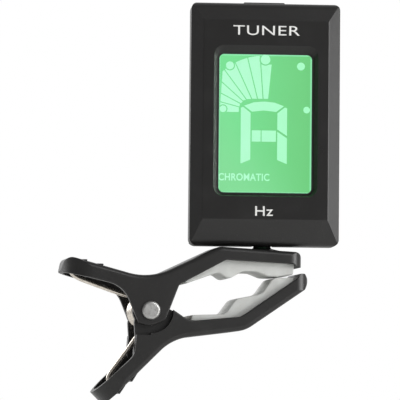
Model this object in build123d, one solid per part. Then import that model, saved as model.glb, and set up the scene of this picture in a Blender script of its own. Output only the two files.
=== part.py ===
from build123d import *
import math
import os

# Clip-on tuner for a guitar headstock: a battery display head on a spring clip.
# Millimetres. +X points out of the clip's mouth, +Z up, -Y is the display side.
# Origin: the middle of the pads' meeting line, where the headstock is gripped.

# ---------------------------------------------------------------- clip sizes
CLIP_WIDTH = 12.4          # over the side walls, along Y
SIDE_WALL = 1.3            # side walls of both arms
WEB = 1.5                  # outer skin of both arms
ARM_GAP = 0.15             # between an outer ear and an inner ear
INNER_EAR = 1.05           # thickness of a lower jaw's ear
PIVOT_X = -25.4
PIVOT_Z = -6.55
PIN_RADIUS = 1.2
PIN_HEAD_RADIUS = 1.72
PIN_HEAD_HEIGHT = 0.55
PIN_SEAT_GAP = 0.02        # pin in the outer ears, which hold it
PIN_RUN_GAP = 0.06         # pin in the inner ears, which turn on it
EAR_RADIUS = 3.2           # inner ears, round the pin
EAR_RECESS_RADIUS = 4.2    # room that the lower arm leaves for the outer ears
EAR_RECESS_DROP = 4.5      # flat of that room, below the pin
RIB_HEIGHT = 0.45          # thumb ribs on the handles
RIB_LENGTH = 1.9
RIB_INSET = 0.7            # ribs, from the handle's sides
RIB_SINK = 0.5             # ribs start this deep in the handle
UPPER_TIP_X = -41.8        # ends of the handles
UPPER_MOUTH_X = 2.95       # ends of the jaws
LOWER_MOUTH_X = 4.2
LOWER_TIP_RUN = 40.5       # along the lower handle, from the origin
TIP_RADIUS = 5.5           # handles' ends, in plan
TIP_WALL = 0.9             # thinnest wall round a handle's end
MOUTH_RADIUS = 2.4         # jaws' ends, in plan
SIDE_ROUND = 0.85          # long outer edges of both arms
RIM_ROUND = 0.25           # the other edges of their side walls

# --------------------------------------------------------------- spring sizes
WIRE_RADIUS = 0.42
COIL_MEAN_RADIUS = 2.9
COIL_TURNS = 8
SLEEVE_WALL = 0.15         # half the wall of the sleeve that joins the turns
LEG_RADIUS = WIRE_RADIUS - 0.02
LEG_SINK = 0.06            # legs start this deep in the end turns
LEG_INSET = 0.1            # coil ends, from the inner ears

# ------------------------------------------------------------------ pad sizes
PAD_SIDE_GAP = 0.1         # pads, from the side walls
PAD_MEETING_GAP = 0.1      # between the pads where they meet

# -------------------------------------------------------------- swivel sizes
SWIVEL_X = -3.7
SEAT_Z = 4.95              # flat seat on the upper jaw
SEAT_RADIUS = 3.6
FOOT_RADIUS = 3.3
FOOT_RIM = 0.12
FOOT_HEIGHT = 0.5
NECK_RADIUS = 1.6
STUD_RADIUS = 1.35
SWIVEL_RUN_GAP = 0.05      # radial, stud in the jaw
SWIVEL_END_GAP = 0.03      # axial, foot and washer on the jaw
WASHER_RADIUS = 2.9
WASHER_THICKNESS = 0.35
SWIVEL_SCREW_RADIUS = 0.7
SWIVEL_SCREW_HEAD_RADIUS = 1.7
SWIVEL_SCREW_HEAD_HEIGHT = 0.8
SWIVEL_SCREW_LENGTH = 3.2
THREAD_GAP = 0.02          # screws in the holes that they have cut
TILT_Z = 8.4
KNUCKLE_RADIUS = 1.9
KNUCKLE_WIDTH = 4.8
TILT_PIN_RADIUS = 0.8
TILT_PIN_LENGTH = 9.2
TILT_RUN_GAP = 0.05
TILT_WASHER_THICKNESS = 0.3
TILT_RIB = 1.5
TILT_RIB_FRONT = -2.0
TILT_BACK = 20.0           # degrees
TILT_FORWARD = 3.0
NECK_END_GAP = 0.3         # neck in the covers' slot, at the ends of the tilt
NECK_SIDE_GAP = 0.4

# ---------------------------------------------------------------- head sizes
HEAD_YAW = -5.6            # the head is stored turned this far on its swivel
HEAD_WIDTH = 27.8
HEAD_HEIGHT = 45.3
HEAD_BOTTOM = 5.75
HEAD_TOP = HEAD_BOTTOM + HEAD_HEIGHT
FRONT_Y = -6.6             # raised flat of the front cover
EDGE_Y = -5.0              # where the sloped bands meet the side walls
PARTING_Y = -0.5
REAR_Y = 6.0
HEAD_WALL = 1.3
FRONT_WALL = 1.5
CORNER_RADIUS = 1.3
SIDE_BAND = 2.3
TOP_BAND = 3.55
BOTTOM_BAND = 4.8
BEVEL_START = 1.5          # rear cover's bottom bevel, which lets the head tilt
BEVEL_RISE = 3.5
REAR_TAPER = 0.5           # each side of the rear cover, from front to back
COVER_STEP = 0.1           # the rear cover is this much smaller all round
COVER_GAP = 0.05           # joint line between the covers
WINDOW_WIDTH = 17.3
WINDOW_HEIGHT = 25.8
WINDOW_Z = HEAD_BOTTOM + HEAD_HEIGHT / 2 + 0.05
WINDOW_CORNER = 0.95
RECESS_WIDTH = WINDOW_WIDTH + 2.1
RECESS_HEIGHT = WINDOW_HEIGHT + 2.3
RECESS_Z = WINDOW_Z + 0.4  # the recess's lower wall is steeper than its upper one
RECESS_DEPTH = 1.1
FIT_GAP = 0.05             # pieces that rest against each other inside

# ------------------------------------------------------------ display sizes
LENS_FLANGE = 1.1
LENS_THICKNESS = 0.6
PANEL_WIDTH = WINDOW_WIDTH + 2.1
PANEL_HEIGHT = WINDOW_HEIGHT + 3.5
PANEL_THICKNESS = 1.5
PANEL_LEDGE = 2.6          # panel below the light guide, for its contacts
GUIDE_WIDTH = PANEL_WIDTH - 0.4
STRIP_HEIGHT = 1.9
STRIP_WIDTH = WINDOW_WIDTH - 0.3

# -------------------------------------------------------------- board sizes
BOARD_THICKNESS = 1.0
BOARD_FRONT_Y = -1.5
BOARD_WIDTH = HEAD_WIDTH - 3.4
BOARD_BOTTOM = HEAD_BOTTOM + 2.65
BOARD_TOP = HEAD_TOP - 2.45
BOARD_NOTCH_WIDTH = 10.8
BOARD_NOTCH_TOP = TILT_Z + 4.2
CHIP_SIZE = 7.0
CHIP_HEIGHT = 1.1
CHIP_X = -5.2
CHIP_Z = HEAD_BOTTOM + 13.65
LEADS_PER_SIDE = 8
CRYSTAL_RADIUS = 1.0
CRYSTAL_LENGTH = 6.0
CRYSTAL_X = 4.6
CRYSTAL_Z = CHIP_Z

# ------------------------------------------------------------ battery sizes
CELL_RADIUS = 10.0
CELL_THICKNESS = 3.2
CELL_Z = HEAD_TOP - 16.05
CELL_FRONT_Y = 1.1
CELL_SIDE_GAP = 0.25
RING_WALL = 0.9
DOOR_HALF_WIDTH = HEAD_WIDTH / 2 - 3.1
DOOR_TONGUE = 0.55
DOOR_TONGUE_THICKNESS = 0.5
DOOR_THICKNESS = 1.15
DOOR_BOTTOM = CELL_Z - 11.6
DOOR_GAP = 0.08
SHELF = 1.1                # shelf under the door

# ------------------------------------------------------------- button sizes
BUTTON_WIDTH = 7.7
BUTTON_DEPTH = 2.7
BUTTON_Y = 0.3
BUTTON_PROUD = 0.6
BUTTON_GAP = 0.08
BUTTON_FLANGE = 0.7
SWITCH_WIDTH = 4.6
SWITCH_HEIGHT = 1.9
SWITCH_DEPTH = 2.0
PLUNGER_RADIUS = 0.75
BUTTON_SWITCH_TOP = HEAD_TOP - 2.75   # top face of the switch

# ------------------------------------------------------------- pickup sizes
PIEZO_RADIUS = 5.0
PIEZO_Z = HEAD_BOTTOM + 11.25
LEAD_RADIUS = 0.3
CONTACT_SHEET = 0.25

# -------------------------------------------------------- cover screw sizes
SCREW_RADIUS = 0.8
SCREW_HEAD_RADIUS = 1.4
SCREW_HEAD_HEIGHT = 0.9
SCREW_HOLE_GAP = 0.12
BOSS_RADIUS = 1.45
REAR_BOSS_RADIUS = 1.9
SCREW_TIP_Y = -3.9
LOW_SCREW_X = HEAD_WIDTH / 2 - 3.5
LOW_SCREW_Z = HEAD_BOTTOM + 5.55
HIGH_SCREW_X = HEAD_WIDTH / 2 - 5.5
HIGH_SCREW_Z = HEAD_TOP - 4.15

# ------------------------------------------------------------- worked out
HALF_CLIP = CLIP_WIDTH / 2
LOWER_HANDLE = (0.7123, 0, 0.7018)    # direction of the lower handle, up to the pin
CHANNEL = HALF_CLIP - SIDE_WALL
EAR_OUTER = CHANNEL - ARM_GAP
EAR_INNER = EAR_OUTER - INNER_EAR
BOARD_REAR_Y = BOARD_FRONT_Y + BOARD_THICKNESS
CELL_REAR_Y = CELL_FRONT_Y + CELL_THICKNESS
SHELF_Y = REAR_Y - DOOR_THICKNESS - DOOR_GAP
FRONT_INNER_Y = FRONT_Y + FRONT_WALL
SCREW_PLACES = [
    (side * x, z)
    for x, z in ((LOW_SCREW_X, LOW_SCREW_Z), (HIGH_SCREW_X, HIGH_SCREW_Z))
    for side in (-1, 1)
]


# ---------------------------------------------------------------- helpers
def outline(corners):
    """Face through corners (across, up, radius), each rounded by its radius."""
    points = [(across, up) for across, up, radius in corners]
    radii = [radius for across, up, radius in corners]
    return make_face(FilletPolyline(*points, radius=radii, close=True))


def across_y(face, low, high):
    """Extrude a face drawn in X and Z from Y = low to Y = high."""
    plane = Plane(origin=(0, high, 0), x_dir=(1, 0, 0), z_dir=(0, -1, 0))
    return extrude(plane * face, amount=high - low, dir=(0, -1, 0))


def across_x(face, low, high):
    """Extrude a face drawn in Y and Z from X = low to X = high."""
    return extrude(Plane.YZ.offset(low) * face, amount=high - low, dir=(1, 0, 0))


def up_z(face, low, high):
    """Extrude a face drawn in X and Y from Z = low to Z = high."""
    return extrude(Plane.XY.offset(low) * face, amount=high - low, dir=(0, 0, 1))


def block(x, y, z):
    """Box between the low and high values of x, y and z."""
    size = [high - low for low, high in (x, y, z)]
    middle = [(high + low) / 2 for low, high in (x, y, z)]
    return Pos(*middle) * Box(*size)


def rod_y(x, z, radius, low, high):
    """Cylinder along Y."""
    return Pos(x, (low + high) / 2, z) * Rot(90, 0, 0) * Cylinder(radius, high - low)


def rod_x(y, z, radius, low, high):
    """Cylinder along X."""
    return Pos((low + high) / 2, y, z) * Rot(0, 90, 0) * Cylinder(radius, high - low)


def rod_z(x, y, radius, low, high):
    """Cylinder along Z."""
    return Pos(x, y, (low + high) / 2) * Cylinder(radius, high - low)


def plate(width, height, corner, z, low, high):
    """Plate with rounded corners, centred on X = 0, from Y = low to Y = high."""
    face = Pos(0, z) * RectangleRounded(width, height, corner)
    return across_y(face, low, high)


def wire(points, radius, bend):
    """Round wire through points, with bends of one radius."""
    path = FilletPolyline(*points, radius=bend)
    section = Plane(origin=path @ 0, z_dir=path % 0) * Circle(radius)
    return sweep(section, path=path)


def turn_head(shape):
    """Bring a piece drawn round the swivel axis to its place on the clip."""
    return Pos(SWIVEL_X, 0, 0) * Rot(0, 0, HEAD_YAW) * shape


def mirrored(shape):
    """The piece and its mirror image across the clip's middle."""
    return [shape, mirror(shape, about=Plane.XZ)]


# ------------------------------------------------------------------- clip
def upper_arm_face():
    """Side view of the upper arm: handle, saddle over the pin, jaw and ear."""
    return outline([
        (UPPER_TIP_X, 0.45, 0), (UPPER_TIP_X + 0.9, 3.35, 1.4), (-25.6, -0.7, 11.0),
        (-12.7, 5.45, 2.5), (UPPER_MOUTH_X, 4.64, 1.5), (UPPER_MOUTH_X, 1.75, 0),
        (2.05, 1.95, 0.3), (1.5, 2.42, 0.3), (-11.35, 3.0, 1.2),
        (-20.15, -1.72, 1.2), (-22.65, -8.25, 1.2), (-25.5, -9.5, 3.0),
        (-27.7, -8.85, 0.6), (-30.45, -2.1, 5.5),
    ])


def upper_channel_face():
    """Room under the upper arm's skin."""
    return outline([
        (UPPER_TIP_X, -14.0, 0), (UPPER_TIP_X, 3.45 - WEB, 0), (-25.6, -0.7 - WEB - 0.1, 9.0),
        (-12.5, 5.43 - WEB - 0.1, 1.5), (1.8, 4.69 - WEB, 0.4), (1.8, -14.0, 0),
    ])


def lower_arm_face():
    """Side view of the lower arm at full width."""
    return outline([
        (-21.35, -6.3, 0.3), (-18.16, -8.4, 3.5), (-8.5, -7.45, 2.5),
        (1.65, -0.42, 0.4), (2.6, 0.68, 0.3), (3.45, 0.68, 0),
        (4.3, -0.6, 1.0), (3.5, -2.3, 1.0), (-7.64, -9.97, 6.0),
        (-21.27, -11.75, 9.0), (-33.3, -23.7, 1.0), (-35.3, -24.0, 1.0),
        (-36.1, -22.15, 0), (-28.3, -14.8, 3.0), (-28.05, -11.3, 0),
        (-27.4, -8.0, 0), (-22.5, -5.6, 0),
    ])


def lower_channel_face():
    """Room above the lower arm's skin."""
    return outline([
        (2.0, 8.0, 0), (2.0, 0.01 - WEB, 0.4), (-8.2, -7.03 - WEB, 4.5),
        (-21.97, -8.83 - WEB, 8.0), (-36.0, -22.65 - WEB, 0), (-37.5, -21.3, 0), (-37.5, 8.0, 0),
    ])


def inner_ear_face():
    """Side view of a lower jaw's ear and the thick wall that carries it."""
    return outline([
        (-28.1, -11.2, 0), (-28.3, -8.3, 1.0), (-25.4, -5.0, 1.5), (-21.4, -6.4, 0.3),
        (-18.4, -8.9, 0.5), (-18.4, -9.9, 0), (-22.0, -10.7, 2.0), (-27.6, -16.0, 0),
        (-28.4, -14.6, 0.6),
    ])


def thumb_ribs(places, turn):
    """Saw-tooth ribs across a handle, each rising towards the handle's end."""
    tooth = outline([(-RIB_LENGTH / 2, -RIB_SINK, 0), (-RIB_LENGTH / 2, 0.0, 0),
                     (RIB_LENGTH / 2, RIB_HEIGHT, 0.12), (RIB_LENGTH / 2, -RIB_SINK, 0)])
    return [
        across_y(Pos(x, z) * Rot(0, 0, turn) * tooth, -HALF_CLIP, HALF_CLIP)
        for x, z in places
    ]


def end_plan(run, tip, mouth, inset):
    """Plan of an arm, its handle's end at -run: both ends rounded, and set in by a wall."""
    half = HALF_CLIP - inset
    tip_radius = tip - inset
    return outline([
        (-run + inset, -half, tip_radius), (mouth, -half, MOUTH_RADIUS),
        (mouth, half, MOUTH_RADIUS), (-run + inset, half, tip_radius),
    ])


def upper_plan(inset):
    """Room that the upper arm keeps to, its ends rounded in plan."""
    return up_z(end_plan(-UPPER_TIP_X, TIP_RADIUS, UPPER_MOUTH_X, inset), -20, 20)


def lower_plan(inset):
    """Room that the lower arm keeps to, rounded in the plane of its handle."""
    along = Plane(origin=(0, 0, 0), x_dir=LOWER_HANDLE, z_dir=(LOWER_HANDLE[2], 0, -LOWER_HANDLE[0]))
    return extrude(along * end_plan(LOWER_TIP_RUN, TIP_RADIUS, 40, inset), amount=60, both=True)


def rounded_sides(arm, x, z, radius):
    """Soften the run of edges through (x, z) on both side faces of an arm."""
    seeds = ShapeList()
    for side in (-1, 1):
        face = arm.faces().sort_by(Axis.Y)[-1 if side > 0 else 0]
        seeds.append(face.edges().sort_by_distance(Vector(x, side * HALF_CLIP, z))[0])
    return fillet(seeds, radius)


def make_upper_jaw():
    """Upper arm: a channel, open downwards, with two outer ears for the pin."""
    arm = across_y(upper_arm_face(), -HALF_CLIP, HALF_CLIP)
    arm = rounded_sides(arm, -34.0, 1.0, SIDE_ROUND)
    arm = rounded_sides(arm, -5.0, 2.8, RIM_ROUND) & upper_plan(0)
    arm -= across_y(upper_channel_face(), -CHANNEL, CHANNEL) & upper_plan(TIP_WALL)
    for rib in thumb_ribs([(-38.2, 2.45), (-35.2, 1.7)], -14.2):
        arm += rib & upper_plan(RIB_INSET)
    arm += rod_z(SWIVEL_X, 0, SEAT_RADIUS, SEAT_Z - WEB, SEAT_Z)
    arm -= rod_z(SWIVEL_X, 0, SEAT_RADIUS, SEAT_Z, SEAT_Z + WEB)
    arm -= rod_z(SWIVEL_X, 0, STUD_RADIUS + SWIVEL_RUN_GAP, -2, SEAT_Z + WEB)
    arm -= rod_z(SWIVEL_X, 0, WASHER_RADIUS + 0.2, 0, SEAT_Z - WEB + 0.2)
    arm -= rod_y(PIVOT_X, PIVOT_Z, PIN_RADIUS + PIN_SEAT_GAP, -HALF_CLIP, HALF_CLIP)
    return arm


def make_lower_jaw():
    """Lower arm: a channel, open upwards, with two inner ears that turn on the pin."""
    arm = across_y(lower_arm_face(), -HALF_CLIP, HALF_CLIP)
    arm = rounded_sides(arm, -14.0, -10.9, SIDE_ROUND)
    arm = rounded_sides(arm, -13.0, -7.8, RIM_ROUND) & lower_plan(0)
    arm &= up_z(end_plan(60, TIP_RADIUS, LOWER_MOUTH_X, 0), -40, 20)
    arm -= across_y(lower_channel_face(), -CHANNEL, CHANNEL) & lower_plan(TIP_WALL)
    for side in mirrored(across_y(inner_ear_face(), EAR_INNER, CHANNEL + 0.3)):
        arm += side
    for side in mirrored(rod_y(PIVOT_X, PIVOT_Z, EAR_RADIUS, EAR_INNER, EAR_OUTER)):
        arm += side
    room = rod_y(PIVOT_X, PIVOT_Z, EAR_RECESS_RADIUS, EAR_OUTER, HALF_CLIP + 1)
    room += block((PIVOT_X - 6, PIVOT_X), (EAR_OUTER, HALF_CLIP + 1),
                  (PIVOT_Z - EAR_RECESS_DROP, PIVOT_Z + 6))
    for side in mirrored(room):
        arm -= side
    for rib in thumb_ribs([(-28.35, -18.75), (-30.55, -21.0)], 225.0):
        arm += rib & lower_plan(RIB_INSET)
    arm -= rod_y(PIVOT_X, PIVOT_Z, PIN_RADIUS + PIN_RUN_GAP, -HALF_CLIP, HALF_CLIP)
    return arm


def make_pivot_pin():
    """Rivet: a shank with a low domed head at each end."""
    pin = rod_y(PIVOT_X, PIVOT_Z, PIN_RADIUS, -HALF_CLIP, HALF_CLIP)
    head = rod_y(PIVOT_X, PIVOT_Z, PIN_HEAD_RADIUS, HALF_CLIP, HALF_CLIP + PIN_HEAD_HEIGHT)
    rim = [edge for edge in head.edges() if abs(edge.center().Y - HALF_CLIP - PIN_HEAD_HEIGHT) < 0.01]
    head = fillet(ShapeList(rim), PIN_HEAD_HEIGHT - 0.05)
    for side in mirrored(head):
        pin += side
    return pin


def make_clip_spring():
    """Torsion spring: close turns round the pin and a bent leg in each handle."""
    turn_pitch = 2 * (EAR_INNER - LEG_INSET - WIRE_RADIUS) / (COIL_TURNS - 1)
    end = (COIL_TURNS - 1) / 2 * turn_pitch
    section = Pos(COIL_MEAN_RADIUS, 0) * Rectangle(2 * SLEEVE_WALL, 2 * end)
    for turn in range(COIL_TURNS):
        section += Pos(COIL_MEAN_RADIUS, turn * turn_pitch - end) * Circle(WIRE_RADIUS)
    spring = Pos(PIVOT_X, 0, PIVOT_Z) * revolve(section, axis=Axis.Y)
    top = PIVOT_Z + COIL_MEAN_RADIUS - LEG_SINK
    bottom = PIVOT_Z - COIL_MEAN_RADIUS + LEG_SINK
    spring += wire([(PIVOT_X, end, top), (-28.4, end, top - 0.1), (-38.3, end, -0.3),
                    (-39.3, end, 0.8)], LEG_RADIUS, 0.9)
    spring += wire([(PIVOT_X, -end, bottom), (-26.5, -end, bottom - 0.6), (-33.0, -end, -18.8),
                    (-32.6, -end, -20.1)], LEG_RADIUS, 0.6)
    return spring


def make_upper_pad():
    """Upper grip pad: sits in the upper arm's channel, one wave and a nose below."""
    low = PAD_MEETING_GAP / 2
    face = outline([
        (1.7, 4.69 - WEB, 0.3), (1.35, 0.45, 0.5), (-1.6, low, 2.2), (-3.4, low, 2.2),
        (-5.7, 0.95, 2.2), (-8.2, 0.95, 2.2), (-10.8, -0.6, 1.4), (-12.7, 0.7, 1.2),
        (-18.7, -1.5, 0.4), (-19.0, -0.9, 0.3), (-12.5, 5.43 - WEB - 0.1, 1.5),
    ])
    pad = across_y(face, -CHANNEL + PAD_SIDE_GAP, CHANNEL - PAD_SIDE_GAP)
    pad -= rod_z(SWIVEL_X, 0, SWIVEL_SCREW_HEAD_RADIUS + 0.4, 1.2, 6)
    pad -= rod_z(SWIVEL_X, 0, WASHER_RADIUS + 0.2, SEAT_Z - WEB - 0.8, 6)
    return pad


def make_lower_pad():
    """Lower grip pad: thin along the arm, one wave, and a nose at the mouth."""
    high = -PAD_MEETING_GAP / 2
    face = outline([
        (1.9, -WEB, 0.3), (1.45, high, 0.4), (-2.4, high - 0.1, 1.4), (-4.5, -3.1, 1.8),
        (-6.4, -3.55, 1.8), (-9.3, -4.1, 2.0), (-11.4, -7.0, 1.6), (-17.6, -7.25, 0.3),
        (-18.2, -8.15 - WEB, 0), (-8.2, -6.98 - WEB, 4.5),
    ])
    return across_y(face, -CHANNEL + PAD_SIDE_GAP, CHANNEL - PAD_SIDE_GAP)


# ----------------------------------------------------------------- swivel
def make_swivel_post():
    """Post that turns on the jaw and carries the head on a cross pin."""
    foot_z = SEAT_Z + SWIVEL_END_GAP
    side = outline([
        (0, SEAT_Z - WEB + 0.2, 0), (STUD_RADIUS, SEAT_Z - WEB + 0.2, 0), (STUD_RADIUS, foot_z, 0),
        (FOOT_RADIUS, foot_z, 0), (FOOT_RADIUS, foot_z + FOOT_RIM, 0),
        (NECK_RADIUS, foot_z + FOOT_HEIGHT, 0.5), (NECK_RADIUS, TILT_Z, 0), (0, TILT_Z, 0),
    ])
    post = revolve(Plane.XZ * side, axis=Axis.Z)
    post += rod_x(0, TILT_Z, KNUCKLE_RADIUS, -KNUCKLE_WIDTH / 2, KNUCKLE_WIDTH / 2)
    post -= rod_x(0, TILT_Z, TILT_PIN_RADIUS + TILT_RUN_GAP, -KNUCKLE_WIDTH, KNUCKLE_WIDTH)
    post -= rod_z(0, 0, SWIVEL_SCREW_RADIUS + THREAD_GAP, 0, TILT_Z - KNUCKLE_RADIUS + 0.6)
    return turn_head(post)


def make_swivel_washer():
    """Spring washer between the jaw and the screw's head."""
    top = SEAT_Z - WEB + 0.2 - SWIVEL_END_GAP
    washer = rod_z(0, 0, WASHER_RADIUS, top - WASHER_THICKNESS, top)
    washer -= rod_z(0, 0, SWIVEL_SCREW_RADIUS + 0.1, 0, SEAT_Z)
    return turn_head(washer)


def make_swivel_screw():
    """Pan-head screw from below, which holds the post to the jaw."""
    seat = SEAT_Z - WEB + 0.2 - SWIVEL_END_GAP - WASHER_THICKNESS
    screw = rod_z(0, 0, SWIVEL_SCREW_RADIUS, seat, seat + SWIVEL_SCREW_LENGTH)
    screw += rod_z(0, 0, SWIVEL_SCREW_HEAD_RADIUS, seat - SWIVEL_SCREW_HEAD_HEIGHT, seat)
    screw -= block((-1.2, 1.2), (-0.2, 0.2), (seat - SWIVEL_SCREW_HEAD_HEIGHT, seat - 0.4))
    screw -= block((-0.2, 0.2), (-1.2, 1.2), (seat - SWIVEL_SCREW_HEAD_HEIGHT, seat - 0.4))
    return turn_head(screw)


def make_tilt_pin():
    """Steel pin through the knuckle and the rear cover's two ribs."""
    return turn_head(rod_x(0, TILT_Z, TILT_PIN_RADIUS, -TILT_PIN_LENGTH / 2, TILT_PIN_LENGTH / 2))


def make_tilt_washers():
    """Friction washers, one at each side of the knuckle."""
    near = KNUCKLE_WIDTH / 2 + 0.02
    washers = []
    for side in (-1, 1):
        low, high = sorted((side * near, side * (near + TILT_WASHER_THICKNESS)))
        ring = rod_x(0, TILT_Z, KNUCKLE_RADIUS, low, high)
        ring -= rod_x(0, TILT_Z, TILT_PIN_RADIUS + TILT_RUN_GAP, low, high)
        washers.append(turn_head(ring))
    return Compound(children=washers)


# --------------------------------------------------------------- head shells
def front_block(inset):
    """Outer form of the front cover, or its hollow when inset by the wall."""
    low = HEAD_BOTTOM + inset
    high = HEAD_TOP - inset
    half = HEAD_WIDTH / 2 - inset
    front = FRONT_Y + (FRONT_WALL if inset else 0)
    edge = EDGE_Y + inset * 0.9
    soft = 0.5 if inset else 1.0
    side = outline([
        (PARTING_Y, low, 0), (edge, low, 1.5 * soft), (front, low + BOTTOM_BAND, 0.4),
        (front, high - TOP_BAND, 0.4), (edge, high, 1.9 * soft), (PARTING_Y, high, 0),
    ])
    lean = SIDE_BAND / (edge - front)
    plan = outline([
        (-half - 1, PARTING_Y + 1, 0), (-half - 1, edge + 1 / lean, 0),
        (-half + SIDE_BAND + lean, front - 1, 0), (half - SIDE_BAND - lean, front - 1, 0),
        (half + 1, edge + 1 / lean, 0), (half + 1, PARTING_Y + 1, 0),
    ])
    face = Pos(0, (low + high) / 2) * RectangleRounded(2 * half, high - low, CORNER_RADIUS * soft)
    form = across_x(side, -half - 1, half + 1) & across_y(face, front - 2, PARTING_Y + 1)
    return form & up_z(plan, low - 1, high + 1)


def rear_block(inset):
    """Outer form of the rear cover, or its hollow when inset by the wall."""
    low = HEAD_BOTTOM + COVER_STEP + inset
    high = HEAD_TOP - COVER_STEP - inset
    half = HEAD_WIDTH / 2 - COVER_STEP - inset
    start = PARTING_Y + COVER_GAP
    rear = REAR_Y - inset
    soft = 0.5 if inset else 1.0
    side = outline([
        (start, low, 0), (BEVEL_START, low, 0), (rear, low + BEVEL_RISE, 1.2),
        (rear, high, 1.6 * soft), (start, high, 0),
    ])
    plan = outline([
        (-half, start - 1, 0), (half, start - 1, 0), (half - REAR_TAPER, rear, 1.8 * soft),
        (REAR_TAPER - half, rear, 1.8 * soft),
    ])
    face = Pos(0, (low + high) / 2) * RectangleRounded(2 * half, high - low, CORNER_RADIUS * soft)
    form = across_x(side, -half - 1, half + 1) & across_y(face, start - 1, rear + 1)
    return form & up_z(plan, low - 1, high + 1)


def neck_slot():
    """Slot in both covers' bottom walls, in which the neck swings."""
    drop = TILT_Z - HEAD_BOTTOM
    front = drop * math.tan(math.radians(TILT_FORWARD)) + NECK_RADIUS + NECK_END_GAP
    rear = drop * math.tan(math.radians(TILT_BACK)) + NECK_RADIUS + NECK_END_GAP
    side = NECK_RADIUS + NECK_SIDE_GAP
    return block((-side, side), (-front, rear), (0, TILT_Z))


def knuckle_room():
    """Room between the tilt ribs for the knuckle and its washers."""
    reach = KNUCKLE_WIDTH / 2 + TILT_WASHER_THICKNESS + 0.03
    return rod_x(0, TILT_Z, KNUCKLE_RADIUS + 0.15, -reach, reach)


def button_slot():
    """Slot in both covers' top walls for the power button."""
    half = BUTTON_WIDTH / 2 + BUTTON_GAP
    depth = BUTTON_DEPTH / 2 + BUTTON_GAP
    return block((-half, half), (BUTTON_Y - depth, BUTTON_Y + depth), (HEAD_TOP - 3, HEAD_TOP + 1))


def make_front_cover():
    """Front shell: raised flat, sloped bands, recessed window and screw bosses."""
    outer = front_block(0)
    cover = outer - front_block(HEAD_WALL)
    mouth = Plane(origin=(0, FRONT_Y - 0.01, RECESS_Z), x_dir=(1, 0, 0), z_dir=(0, 1, 0))
    floor = Plane(origin=(0, FRONT_Y + RECESS_DEPTH, WINDOW_Z), x_dir=(1, 0, 0), z_dir=(0, 1, 0))
    cover -= loft([
        mouth * RectangleRounded(RECESS_WIDTH, RECESS_HEIGHT, 2 * WINDOW_CORNER),
        floor * RectangleRounded(WINDOW_WIDTH + 0.6, WINDOW_HEIGHT + 0.6, WINDOW_CORNER + 0.3),
    ])
    cover -= plate(WINDOW_WIDTH, WINDOW_HEIGHT, WINDOW_CORNER, WINDOW_Z, FRONT_Y, FRONT_INNER_Y + 0.5)
    for x, z in SCREW_PLACES:
        boss = rod_y(x, z, BOSS_RADIUS, FRONT_Y, BOARD_FRONT_Y - FIT_GAP)
        boss -= rod_y(x, z, SCREW_RADIUS + THREAD_GAP, SCREW_TIP_Y - 0.3, 0)
        cover += boss & outer
    cover -= neck_slot()
    cover -= knuckle_room()
    cover -= button_slot()
    return turn_head(cover)


def door_form(grow):
    """The battery door, or the room for it when grown by the sliding gap."""
    low_z = DOOR_BOTTOM - grow
    start = REAR_Y - DOOR_THICKNESS - grow
    form = block((-DOOR_HALF_WIDTH - grow, DOOR_HALF_WIDTH + grow), (start, REAR_Y + grow),
                 (low_z, HEAD_TOP + grow))
    tongue = DOOR_HALF_WIDTH + DOOR_TONGUE + grow
    form += block((-tongue, tongue), (start, start + DOOR_TONGUE_THICKNESS + 2 * grow),
                  (low_z, HEAD_TOP + grow))
    return form


def screw_seat(z):
    """Y of the face that a cover screw's head sits on."""
    if z > DOOR_BOTTOM:
        return SHELF_Y - SCREW_HEAD_HEIGHT - 0.2
    return REAR_Y - SCREW_HEAD_HEIGHT - 1.0


def make_rear_cover():
    """Rear shell: door recess, battery pocket, tilt ribs and screw bosses."""
    outer = rear_block(0)
    cover = outer - rear_block(HEAD_WALL)
    half = DOOR_HALF_WIDTH + DOOR_TONGUE + 1.3
    shelf = block((-half, half), (SHELF_Y - SHELF, REAR_Y - HEAD_WALL + 0.1),
                  (DOOR_BOTTOM - 1.2, HEAD_TOP - 1))
    ring = rod_y(0, CELL_Z, CELL_RADIUS + CELL_SIDE_GAP + RING_WALL, CELL_FRONT_Y - 0.4, SHELF_Y)
    cover += (shelf + ring) & outer
    for x, z in SCREW_PLACES:
        boss = rod_y(x, z, REAR_BOSS_RADIUS, BOARD_REAR_Y + FIT_GAP, REAR_Y - 0.5)
        cover += boss & outer
    cover -= rod_y(0, CELL_Z, CELL_RADIUS + CELL_SIDE_GAP, CELL_FRONT_Y - 1, REAR_Y + 1)
    cover -= block((CELL_RADIUS - 1, CELL_RADIUS + 1.0), (-1, SHELF_Y - SHELF), (CELL_Z - 3.5, CELL_Z + 3.5))
    near = KNUCKLE_WIDTH / 2 + TILT_WASHER_THICKNESS + 0.04
    rib_z = (HEAD_BOTTOM + HEAD_WALL + 0.1, TILT_Z + 2.1)
    for side in (-1, 1):
        rib_x = sorted((side * near, side * (near + TILT_RIB)))
        cover += block(rib_x, (TILT_RIB_FRONT, PARTING_Y + 1), rib_z)
        cover += block(rib_x, (PARTING_Y, REAR_Y), rib_z) & outer
    cover -= door_form(DOOR_GAP)
    for x, z in SCREW_PLACES:
        seat = screw_seat(z)
        cover -= rod_y(x, z, SCREW_RADIUS + SCREW_HOLE_GAP, -2, REAR_Y + 1)
        cover -= rod_y(x, z, SCREW_HEAD_RADIUS + SCREW_HOLE_GAP, seat, REAR_Y + 1)
    cover -= rod_x(0, TILT_Z, TILT_PIN_RADIUS + PIN_SEAT_GAP, -6, 6)
    cover -= neck_slot()
    cover -= knuckle_room()
    cover -= button_slot()
    return turn_head(cover)


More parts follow.
